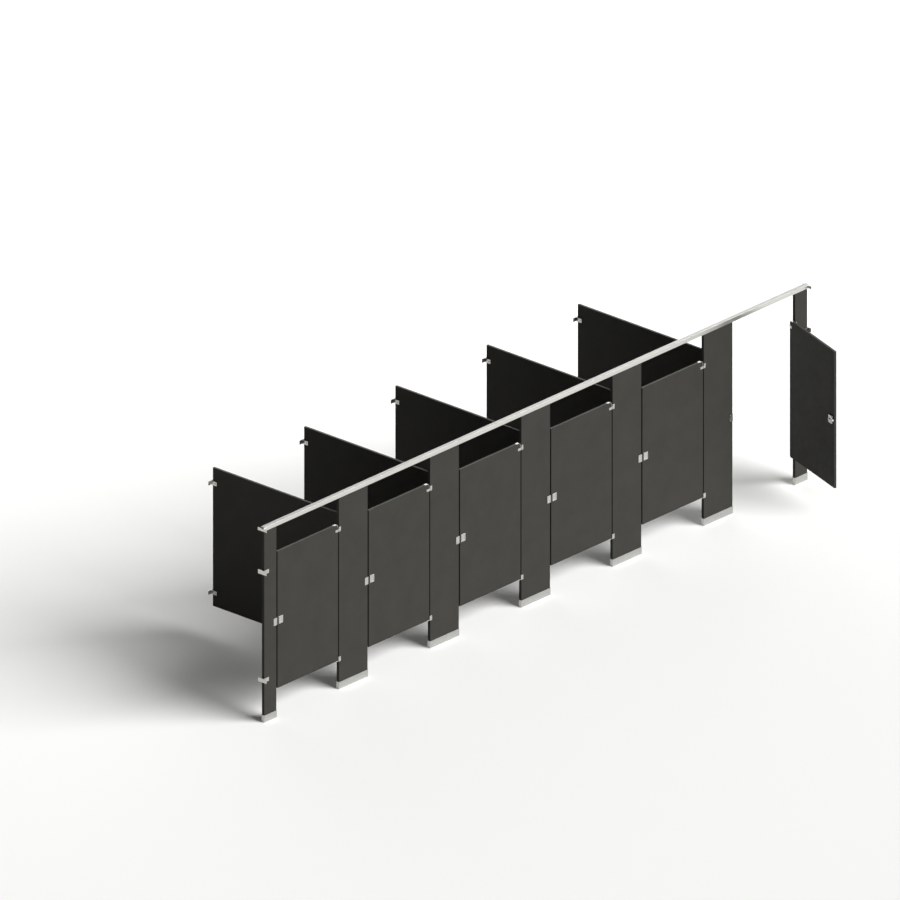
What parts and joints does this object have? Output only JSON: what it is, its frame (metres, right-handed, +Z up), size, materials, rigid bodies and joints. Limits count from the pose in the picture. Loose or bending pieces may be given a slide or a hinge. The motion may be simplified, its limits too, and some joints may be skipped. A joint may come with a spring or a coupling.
{
  "type": "toilet partition row",
  "caption": "Overhead-braced row of toilet compartments with pivoted doors, slide latches, dividers, floor shoes and a headrail.",
  "frame": {"origin": "on the floor under the middle pilaster, on the pilasters' mid-plane, at the centre of its floor anchors", "axes": "+X along the row to the right as seen from the front, +Y from the doors to the back wall, +Z up"},
  "size_m": [7.967, 2.6439, 2.0957],
  "materials": {
    "panel_coat": "black satin powder coat",
    "hardware_metal": "satin stainless",
    "rail_aluminium": "satin clear anodised",
    "shoe_steel": "brushed stainless",
    "plated_steel": "zinc plated",
    "nylon": "natural nylon",
    "bumper_rubber": "matt"
  },
  "bodies": {
    "row_frame": {"pilaster_1": "panel_coat", "pilaster_2": "panel_coat", "pilaster_3": "panel_coat", "pilaster_4": "panel_coat", "pilaster_5": "panel_coat", "pilaster_6": "panel_coat", "pilaster_7": "panel_coat", "divider_1": "panel_coat", "divider_2": "panel_coat", "divider_3": "panel_coat", "divider_4": "panel_coat", "divider_5": "panel_coat", "headrail": "rail_aluminium", "headrail_end_brackets": "hardware_metal", "pilaster_shoes": "shoe_steel", "floor_plates": "plated_steel", "levelling_studs": "plated_steel", "divider_brackets": "hardware_metal", "end_pilaster_brackets": "hardware_metal", "top_hinge_brackets": "hardware_metal", "bottom_hinge_brackets": "hardware_metal", "hinge_pins": "plated_steel", "keepers": "hardware_metal", "keeper_bumpers": "bumper_rubber"},
    "swing_door_1": {"door_1": "panel_coat", "top_hinge_casting_1": "hardware_metal", "pivot_bush_1": "nylon", "latch_case_1": "hardware_metal", "latch_plate_1": "hardware_metal"},
    "slide_bolt_1": {"latch_bolt_1": "hardware_metal"},
    "swing_door_2": {"door_2": "panel_coat", "top_hinge_casting_2": "hardware_metal", "pivot_bush_2": "nylon", "latch_case_2": "hardware_metal", "latch_plate_2": "hardware_metal"},
    "slide_bolt_2": {"latch_bolt_2": "hardware_metal"},
    "swing_door_3": {"door_3": "panel_coat", "top_hinge_casting_3": "hardware_metal", "pivot_bush_3": "nylon", "latch_case_3": "hardware_metal", "latch_plate_3": "hardware_metal"},
    "slide_bolt_3": {"latch_bolt_3": "hardware_metal"},
    "swing_door_4": {"door_4": "panel_coat", "top_hinge_casting_4": "hardware_metal", "pivot_bush_4": "nylon", "latch_case_4": "hardware_metal", "latch_plate_4": "hardware_metal"},
    "slide_bolt_4": {"latch_bolt_4": "hardware_metal"},
    "swing_door_5": {"door_5": "panel_coat", "top_hinge_casting_5": "hardware_metal", "pivot_bush_5": "nylon", "latch_case_5": "hardware_metal", "latch_plate_5": "hardware_metal"},
    "slide_bolt_5": {"latch_bolt_5": "hardware_metal"},
    "swing_door_6": {"door_6": "panel_coat", "top_hinge_casting_6": "hardware_metal", "pivot_bush_6": "nylon", "latch_case_6": "hardware_metal", "latch_plate_6": "hardware_metal"},
    "slide_bolt_6": {"latch_bolt_6": "hardware_metal"}
  },
  "joints": [
    {"name": "door_1_swing", "type": "hinge", "parent": "row_frame", "child": "swing_door_1", "pos_m": [-2.9065, 0, 0.305], "axis": [0, 0, -1], "range_deg": [0, 95]},
    {"name": "bolt_1_slide", "type": "slide", "parent": "swing_door_1", "child": "slide_bolt_1", "axis": [-1, 0, 0], "range_m": [0, 0.036]},
    {"name": "door_2_swing", "type": "hinge", "parent": "row_frame", "child": "swing_door_2", "pos_m": [-1.5725, 0, 0.305], "axis": [0, 0, -1], "range_deg": [0, 95]},
    {"name": "bolt_2_slide", "type": "slide", "parent": "swing_door_2", "child": "slide_bolt_2", "axis": [-1, 0, 0], "range_m": [0, 0.036]},
    {"name": "door_3_swing", "type": "hinge", "parent": "row_frame", "child": "swing_door_3", "pos_m": [-0.2385, 0, 0.305], "axis": [0, 0, -1], "range_deg": [0, 95]},
    {"name": "bolt_3_slide", "type": "slide", "parent": "swing_door_3", "child": "slide_bolt_3", "axis": [-1, 0, 0], "range_m": [0, 0.036]},
    {"name": "door_4_swing", "type": "hinge", "parent": "row_frame", "child": "swing_door_4", "pos_m": [1.0955, 0, 0.305], "axis": [0, 0, -1], "range_deg": [0, 95]},
    {"name": "bolt_4_slide", "type": "slide", "parent": "swing_door_4", "child": "slide_bolt_4", "axis": [-1, 0, 0], "range_m": [0, 0.036]},
    {"name": "door_5_swing", "type": "hinge", "parent": "row_frame", "child": "swing_door_5", "pos_m": [2.4295, 0, 0.305], "axis": [0, 0, -1], "range_deg": [0, 95]},
    {"name": "bolt_5_slide", "type": "slide", "parent": "swing_door_5", "child": "slide_bolt_5", "axis": [-1, 0, 0], "range_m": [0, 0.036]},
    {"name": "door_6_swing", "type": "hinge", "parent": "row_frame", "child": "swing_door_6", "pos_m": [3.7635, 0, 0.305], "axis": [0, 0, 1], "range_deg": [-71.5, 23.5]},
    {"name": "bolt_6_slide", "type": "slide", "parent": "swing_door_6", "child": "slide_bolt_6", "axis": [-0.3173, -0.9483, 0], "range_m": [0, 0.036]}
  ]
}
